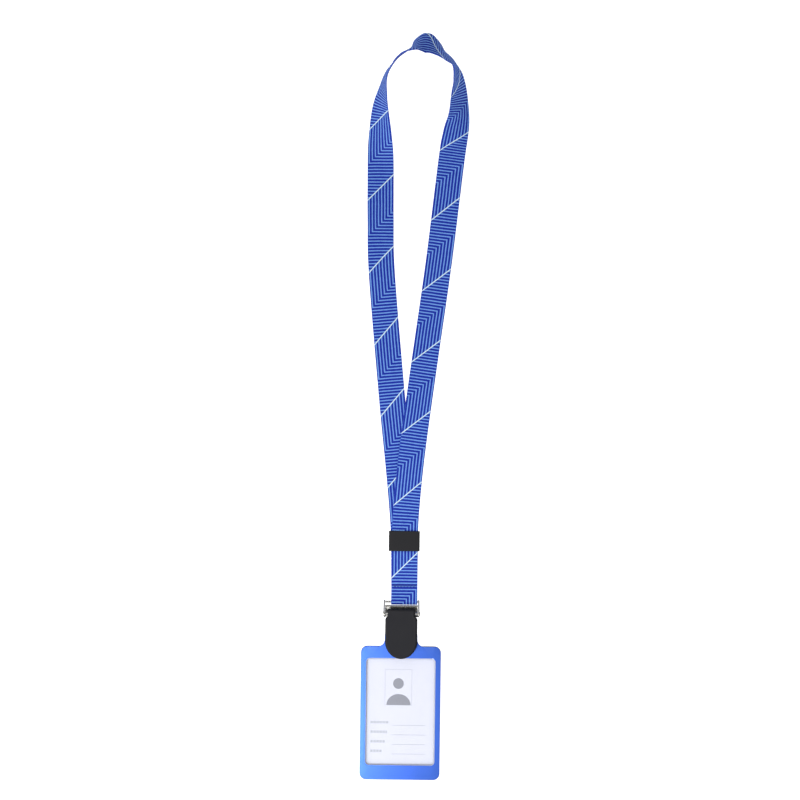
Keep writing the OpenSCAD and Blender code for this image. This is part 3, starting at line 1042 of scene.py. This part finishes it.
def cardFinish():
    graph = Graph("cardPrint")
    x, y, z = graph.split(3)

    def inBox(cx, cy, w, h):
        return (abs(x - cx) < w / 2) & (abs(y - cy) < h / 2)

    hx, hy, hr = card["head"]
    head = ((x - hx) * (x - hx) + (y - hy) * (y - hy)) < hr * hr
    sx, sy, sw, sh = card["shoulders"]
    wide, tall = (x - sx) / sw, (y - sy) / sh
    bust = (wide * wide + tall * tall) < 1.0
    figure = head | (bust & (y > sy))
    cx, cy, w, h = card["frame"]
    line = card["frameLine"]
    thin = inBox(cx, cy, w, h) - inBox(cx, cy, w - line, h - line)
    left, right = card["rule"]
    labels = []
    for row, length in zip(card["rows"], card["labels"]):
        labels.append(inBox(card["labelX"] + length / 2, row, length, card["labelHeight"]))
        rule = inBox((left + right) / 2, row - card["ruleDrop"], right - left, card["ruleLine"])
        thin = thin | rule
    first, second, third, fourth = labels
    letters = (x / card["letter"]) % 1 > 0.22
    words = (first | second | third | fourth) & letters
    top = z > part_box("id_card")[1].z - 0.2 * mm
    fibre = graph.noise(1400.0, 3.0)
    paper = graph.mix(fibre * 0.3, tint(card["paper"]), tint(card["paperDeep"]))
    drawn = graph.mix(thin & top, paper, tint(card["faint"]))
    drawn = graph.mix(words & top, drawn, tint(card["words"]))
    drawn = graph.mix(figure & top, drawn, tint(card["ink"]))
    return graph.finish({
        "Base Color": drawn,
        "Roughness": 0.42 + fibre * 0.1,
        "Normal": graph.bump(fibre, 0.00001),
    })


def makeCard():
    low, high, middle = sizes("id_card")
    outline = roundRect(high.x - low.x, high.y - low.y, card["corner"], middle.x, middle.y)
    bm = bmesh.new()
    block(bm, outline, low.z, high.z, card["rim"])
    return piece("idCard", bm, "card", {"material": cardFinish(), "slot": "card"}, "id_card")


makeCard()
print("card printed")

# what shows of the CAD solids that stay

core = {"colour": "#55555a", "bevel": 0.00015, "weld": 0.000001}


def finishCore():
    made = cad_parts["flap_core"]
    made.data.materials.clear()
    made.data.materials.append(mouldedFinish("corePlastic", core["colour"], 0.5))
    weld = made.modifiers.new("weld", "WELD")
    weld.merge_threshold = core["weld"]
    soften = made.modifiers.new("softEdges", "BEVEL")
    soften.width = core["bevel"]
    soften.segments = 2
    soften.limit_method = "ANGLE"


finishCore()

# floor and light

studio = {
    "floorSize": 30.0,
    "floorDrop": 0.2,          # room for the holder to swing down
    "floor": 0.9,
    "glow": 0.65,
    "sky": (0.15, 1.15, 0.1),  # strength at the horizon, half way up and overhead
    "lean": (0.2, 0.2),        # brighter to the left and to the foot
    "lamps": {                 # place, size, power, aim
        "keyLight": ((-0.55, -0.25, 0.75), 0.5, 3.0, (0.0, 0.2, 0.0)),
        "nearLight": ((-0.16, -0.08, 0.6), 0.12, 1.35, (-0.01, 0.0, 0.0)),
    },
}


def makeStudio():
    half = studio["floorSize"] / 2
    bm = bmesh.new()
    x, y = camera["over"]
    corners = [(-half, -half), (half, -half), (half, half), (-half, half)]
    bm.faces.new([bm.verts.new((x + a, y + b, -studio["floorDrop"])) for a, b in corners])
    mesh = bpy.data.meshes.new("floor")
    bm.to_mesh(mesh)
    bm.free()
    floor = link(bpy.data.objects.new("floor", mesh))
    white = studio["floor"]
    mesh.materials.append(Graph("floorWhite").finish({
        "Base Color": (white, white, white, 1),
        "Roughness": 0.9,
        "Specular IOR Level": 0.0,
        "Emission Color": (1, 1, 1, 1),
        "Emission Strength": studio["glow"],
    }))
    floor.visible_glossy = False      # metal edges stay dark against the white

    for name, (place, size, power, aim) in studio["lamps"].items():
        light = bpy.data.lights.new(name, "AREA")
        light.energy, light.size = power, size
        lamp = link(bpy.data.objects.new(name, light))
        lamp.location = place
        lamp.rotation_euler = (Vector(aim) - lamp.location).to_track_quat("-Z", "Y").to_euler()
        lamp.visible_camera = False

    sky = Graph("studioSky", "worlds")
    x, y, z = sky.split(0)
    low, middle, high = studio["sky"]
    glow = low + sky.soft(z, 0.0, 0.45) * (middle - low)
    glow = glow - sky.soft(z, 0.65, 0.98) * (middle - high)
    left, foot = studio["lean"]
    light = sky.node("Background", None, {"Strength": glow - x * left - y * foot})
    sky.node("OutputWorld", None, {"Surface": light})
    bpy.context.scene.world = sky.owner
    bpy.context.scene.view_settings.view_transform = "Standard"


makeStudio()
print("studio lit")
